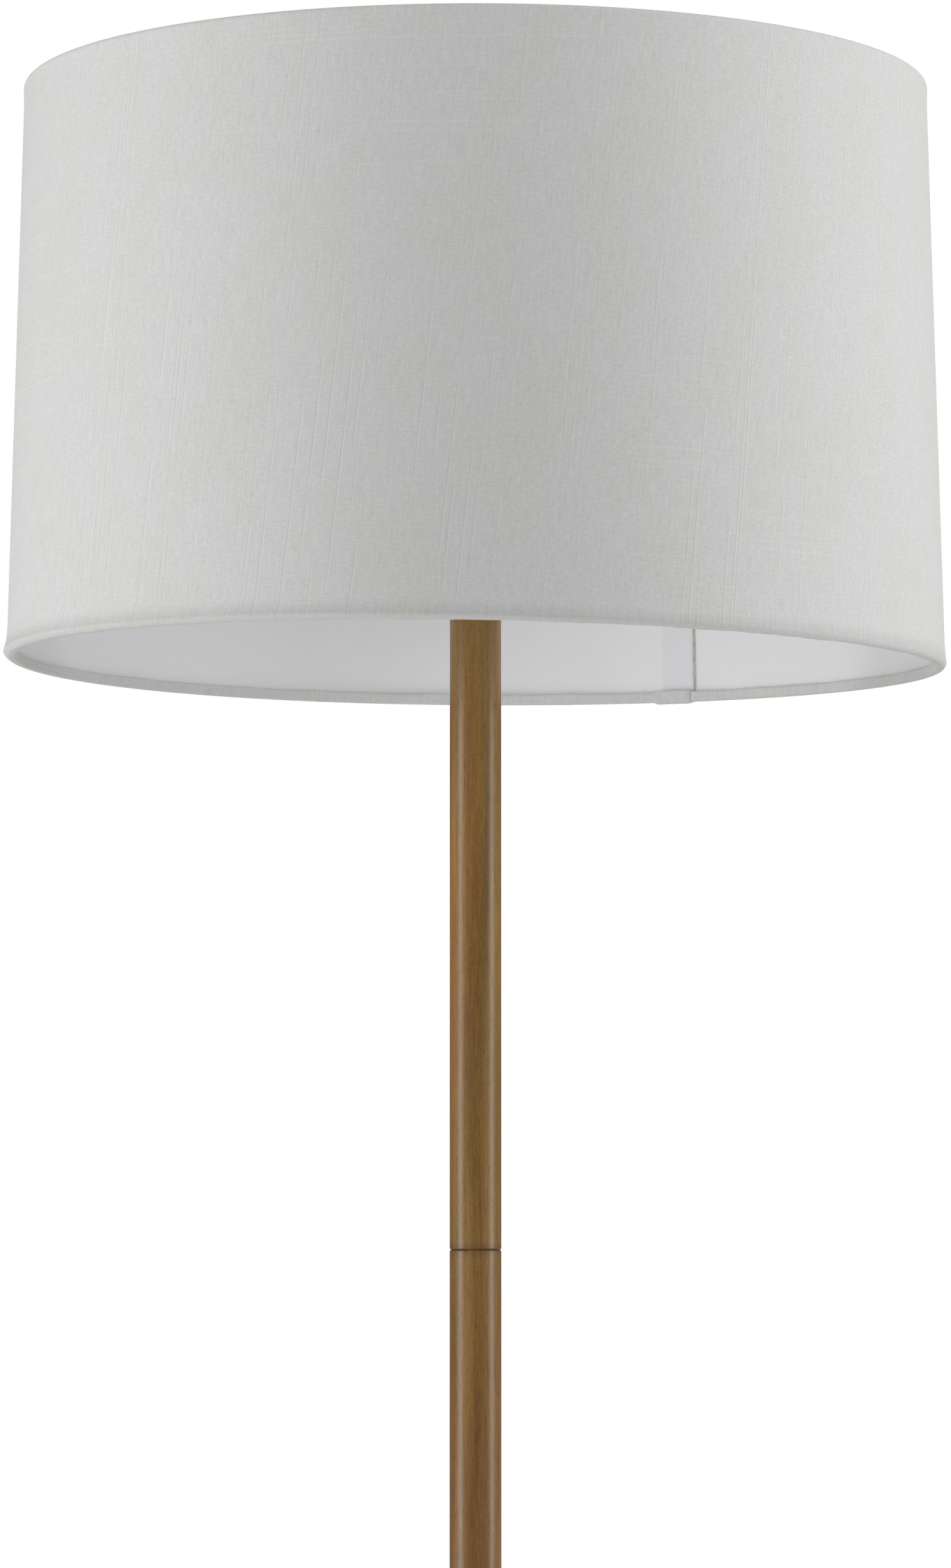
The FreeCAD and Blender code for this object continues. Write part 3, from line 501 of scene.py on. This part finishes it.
def wall_heights():
    """Heights from ring to ring, closest together near the rings."""
    near = [d * MM for d in (0.5, 1.0, 1.5, 2.0, 2.5, 3.2, 4, 5, 6.5, 8, 10, 12.5, 15, 18, 22)]
    low, high = BOTTOM_RING_Z + 28 * MM, TOP_RING_Z - 28 * MM
    steps = 22
    middle = [low + (high - low) * i / steps for i in range(steps + 1)]
    return [BOTTOM_RING_Z + d for d in near] + middle + [TOP_RING_Z - d for d in reversed(near)]


def hem_point(ring_r, ring_z, angle, turn, radius):
    """A point of a hem, at a turn round the wire from its outer side.

    Past the wire's far side the hem stops where it meets the liner.
    """
    across, up = math.cos(turn), math.sin(turn)
    outer_power, inner_power = HEM_SQUARENESS
    power = outer_power + (inner_power - outer_power) * smooth_step((abs(turn) - 1.2) / 0.8)
    radius /= (abs(across) ** power + abs(up) ** power) ** (1 / power)
    r, z = ring_r + radius * across, ring_z + radius * up
    at_bottom = ring_r == BOTTOM_RING_R
    if at_bottom:
        r += 0.6 * bottom_flare(angle) * smooth_step(1 + turn)
    past_top = abs(turn) > math.pi and (up > 0.5 if at_bottom else up < -0.5)
    if past_top:
        level = min(max(z, BOTTOM_RING_Z + 1 * MM), TOP_RING_Z - 1 * MM)
        r = min(r, wall_radius(angle, level, -1) - LINEN_T - LINER_T - 0.06 * MM)
    return r, z


def hem_radius(angle, turn, seed):
    """The hem's outer radius round the wire: its inner side is a little uneven, as folded cloth is."""
    inner_side = smooth_step((abs(turn) - 1.2) / 1.2)
    return CLOTH_R + 0.2 * MM * inner_side * ripple(angle, seed, (23, 41, 67, 118, 173))


def linen_rows(angle):
    """One column of the linen, as (outer radius, outer height, inner radius, inner height)."""
    rows = []
    for i in range(HEM_STEPS + 1):
        turn = -HEM_TUCK * (1 - i / HEM_STEPS)
        outer = hem_point(BOTTOM_RING_R, BOTTOM_RING_Z, angle, turn, hem_radius(angle, turn, 1.0))
        inner = hem_point(BOTTOM_RING_R, BOTTOM_RING_Z, angle, turn, CLOTH_R - LINEN_T)
        rows.append(outer + inner)
    for z in wall_heights():
        outer_r = wall_radius(angle, z, 1)
        from_ring = min(z - BOTTOM_RING_Z, TOP_RING_Z - z)
        ring_r = BOTTOM_RING_R if z - BOTTOM_RING_Z < TOP_RING_Z - z else TOP_RING_R
        if from_ring < CLOTH_R:
            outer_r = max(outer_r, ring_r + math.sqrt(CLOTH_R**2 - from_ring**2))
        rows.append((outer_r, z, outer_r - LINEN_T, z))
    for i in range(HEM_STEPS + 1):
        turn = HEM_TUCK * i / HEM_STEPS
        outer = hem_point(TOP_RING_R, TOP_RING_Z, angle, turn, hem_radius(angle, turn, 2.6))
        inner = hem_point(TOP_RING_R, TOP_RING_Z, angle, turn, CLOTH_R - LINEN_T)
        rows.append(outer + inner)
    return rows


def columns_from(start, gap, count):
    """Angles round the shade from one cut edge back to itself, leaving gap for the step between."""
    span = 2 * math.pi - gap
    return [start + gap / 2 + span * i / (count - 1) for i in range(count)]


def shade_linen():
    """The linen as one closed sheet: its outer face, its inner face, and the two hems' cut edges."""
    start = LAP_START + LAP_ANGLE
    angles = columns_from(start, math.radians(0.05), 720)
    columns = [linen_rows(angle) for angle in angles]
    travel = [0.0]
    for before, after in zip(columns[0], columns[0][1:]):
        travel.append(travel[-1] + math.hypot(after[0] - before[0], after[1] - before[1]))
    count = len(travel)
    vertices, uvs = [], []
    for i in range(count):
        for angle, rows in zip(angles, columns):
            vertices.append(placed(rows[i][0], angle, rows[i][1]))
            uvs.append(((angle - start) * BOTTOM_RING_R, travel[i]))
    for i in reversed(range(count)):
        for angle, rows in zip(angles, columns):
            vertices.append(placed(rows[i][2], angle, rows[i][3]))
            uvs.append(((angle - start) * BOTTOM_RING_R, travel[i]))
    faces = grid_faces(2 * count, len(angles), wrap_columns=True, wrap_rows=True)
    linen = add_mesh("shade_linen", vertices, faces, uvs, 2 * math.pi * BOTTOM_RING_R)
    grow(linen, "shade", "linen", "shade_fabric")


def shade_lining():
    """The white lining behind the linen, with the step where its two ends lap."""
    start = LAP_START
    angles = columns_from(start, math.radians(0.28), 720)
    above_wire = 1.9 * MM
    heights = [z for z in wall_heights() if BOTTOM_RING_Z + above_wire < z < TOP_RING_Z - above_wire]
    vertices, uvs = [], []
    for side, rows in ((-1, heights), (1, heights[::-1])):
        depth = LINEN_T + (LINER_T if side == -1 else 0.02 * MM)
        for z in rows:
            for angle in angles:
                vertices.append(placed(wall_radius(angle, z, side) - depth, angle, z))
                uvs.append(((angle - start) * BOTTOM_RING_R, z - BOTTOM_RING_Z))
    faces = grid_faces(2 * len(heights), len(angles), wrap_columns=True, wrap_rows=True)
    faces = [f[::-1] for f in faces]
    lining = add_mesh("shade_lining", vertices, faces, uvs, 2 * math.pi * BOTTOM_RING_R)
    grow(lining, "shade", "styrene", "shade_liner")


def bottom_ring_wire():
    """The bottom ring's wire, drooping with the rim."""
    columns, sides = 360, 16
    vertices = []
    for i in range(sides):
        turn = 2 * math.pi * i / sides
        radius, z = BOTTOM_RING_R + WIRE_R * math.cos(turn), BOTTOM_RING_Z + WIRE_R * math.sin(turn)
        for j in range(columns):
            angle = 2 * math.pi * j / columns
            vertices.append(placed(radius, angle, z))
    wire = add_mesh("bottom_ring_wire", vertices, grid_faces(sides, columns, True, True))
    grow(wire, "shade", "white_wire", "shade_bottom_ring")


def hem_tab():
    """The turned-over end of the bottom hem, where it laps its own start."""
    from_angle, to_angle = LAP_START + math.radians(0.1), LAP_START + math.radians(5.4)
    from_turn, to_turn = math.radians(-40), math.radians(-286)
    tab_t = 0.62 * MM
    corner = 4.0 * MM
    rows, columns = 40, 36
    length = (CLOTH_R + tab_t) * (from_turn - to_turn)
    width = BOTTOM_RING_R * (to_angle - from_angle)
    outer, inner, uvs = [], [], []
    for i in range(rows):
        across = length * i / (rows - 1)
        turn = from_turn + (to_turn - from_turn) * i / (rows - 1)
        into_corner = max(0.0, corner - across, corner - (length - across)) / corner
        end = width - corner * (1 - math.sqrt(1 - min(into_corner, 0.999) ** 2))
        for j in range(columns):
            along = end * (1 - (1 - j / (columns - 1)) ** 2)
            angle = from_angle + along / BOTTOM_RING_R
            lift = 0.12 + 0.88 * smooth_step(along / (3 * MM))
            edge = min(across, length - across, end - along) / (0.5 * MM)
            lift *= 0.45 + 0.55 * math.sqrt(min(max(edge, 0.0), 1.0))
            lift *= 1 + 0.08 * ripple(angle * 9, 4.0, (23, 41))
            low = CLOTH_R + 0.17 * MM
            for face, radius in ((outer, low + tab_t * lift), (inner, low)):
                r, z = hem_point(BOTTOM_RING_R, BOTTOM_RING_Z, angle, turn, radius)
                face.append(placed(r, angle, z))
            uvs.append((along, across))
    faces = grid_faces(rows, columns)
    count = rows * columns
    faces += [tuple(count + i for i in reversed(f)) for f in grid_faces(rows, columns)]
    rim = list(range(columns))
    rim += [i * columns + columns - 1 for i in range(1, rows)]
    rim += [(rows - 1) * columns + j for j in range(columns - 2, -1, -1)]
    rim += [i * columns for i in range(rows - 2, 0, -1)]
    faces += [(b, a, count + a, count + b) for a, b in zip(rim, rim[1:] + rim[:1])]
    tab = add_mesh("hem_tab", outer + inner, faces, uvs + uvs)
    grow(tab, "shade", "linen")


# ---------------------------------------------------------------- the studio
AMBIENT = 0.08
FLOOR_GLOW = (0.14, 0.50)  # near the lamp, and far off where it fades into the white behind
SOFTBOXES = [  # name, degrees round from the front, how far off, middle's height, width, height, watts
    ("softbox_left", -71, 2.3, 1.0, 0.9, 2.0, 29.0),
    ("softbox_right", 78, 2.3, 1.6, 0.9, 2.4, 31.3),
    ("softbox_top", 0, 0.9, 3.2, 1.8, 1.8, 15.5),
]


def floor():
    """A wide pale disc that the lamp stands on, which can't be seen from underneath."""
    radius, columns = 14.0, 128
    vertices = [polar(radius, 2 * math.pi * j / columns, 0) for j in range(columns)]
    disc = add_mesh("floor", vertices, [tuple(range(columns))])
    m = Nodes("floor")
    x, y, z = m.position()
    cloud = m.noise(m.vector(x, y, z), scale=3.0)
    m.link(m.mix(cloud, grey(0.82), grey(0.85)), m.shader.inputs["Base Color"])
    m.shader.inputs["Roughness"].default_value = 0.9
    m.shader.inputs["Emission Color"].default_value = grey(1.0)
    away = m.math("SQRT", m.math("ADD", m.math("MULTIPLY", x, x), m.math("MULTIPLY", y, y)))
    m.link(m.remap(away, 2.0, 5.5, *FLOOR_GLOW), m.shader.inputs["Emission Strength"])
    clear = m.add("ShaderNodeBsdfTransparent")
    sides = m.add("ShaderNodeMixShader")
    m.link(m.add("ShaderNodeNewGeometry").outputs["Backfacing"], sides.inputs[0])
    m.link(m.shader.outputs[0], sides.inputs[1])
    m.link(clear.outputs[0], sides.inputs[2])
    m.link(sides.outputs[0], m.tree.nodes["Material Output"].inputs["Surface"])
    disc.data.materials.append(m.material)


def world():
    """White behind the lamp, and a softer even light from all round it."""
    scene = bpy.context.scene
    scene.world = bpy.data.worlds.new("studio")
    scene.world.use_nodes = True
    tree = scene.world.node_tree
    tree.nodes.clear()
    seen = tree.nodes.new("ShaderNodeBackground")
    seen.inputs["Color"].default_value = grey(1.0)
    seen.inputs["Strength"].default_value = 1.0
    lit = tree.nodes.new("ShaderNodeBackground")
    lit.inputs["Color"].default_value = (1.0, 1.0, 1.0, 1.0)
    lit.inputs["Strength"].default_value = AMBIENT
    path = tree.nodes.new("ShaderNodeLightPath")
    mix = tree.nodes.new("ShaderNodeMixShader")
    out = tree.nodes.new("ShaderNodeOutputWorld")
    tree.links.new(path.outputs["Is Camera Ray"], mix.inputs[0])
    tree.links.new(lit.outputs[0], mix.inputs[1])
    tree.links.new(seen.outputs[0], mix.inputs[2])
    tree.links.new(mix.outputs[0], out.inputs[0])


def softboxes():
    shade_middle = Vector((0, 0, (SHADE_BOTTOM_Z + SHADE_TOP_Z) / 2))
    for name, degrees, distance, middle_z, width, height, watts in SOFTBOXES:
        light = bpy.data.lights.new(name, "AREA")
        light.shape = "RECTANGLE"
        light.size, light.size_y = width, height
        light.energy = watts
        obj = bpy.data.objects.new(name, light)
        a = math.radians(degrees)
        obj.location = Vector((distance * math.sin(a), -distance * math.cos(a), middle_z))
        obj.rotation_euler = (obj.location - shade_middle).to_track_quat("Z", "Y").to_euler()
        obj.visible_camera = False
        bpy.context.scene.collection.objects.link(obj)


def camera():
    """A long lens, a little below the shade's rim and looking slightly up."""
    data = bpy.data.cameras.new("camera")
    data.sensor_width = 36.0
    data.lens = 146.5
    data.clip_end = 100.0
    obj = bpy.data.objects.new("camera", data)
    bpy.context.scene.collection.objects.link(obj)
    tilt_up = math.radians(4.31)
    obj.location = (0.0, -3.0965, SHADE_BOTTOM_Z - 0.2913)
    obj.rotation_euler = (math.pi / 2 + tilt_up, 0, 0)
    bpy.context.scene.camera = obj


dress_cad_nodes()
bottom_ring_wire()
shade_linen()
shade_lining()
hem_tab()
floor()
world()
softboxes()
camera()

bpy.context.scene.view_settings.view_transform = "Standard"
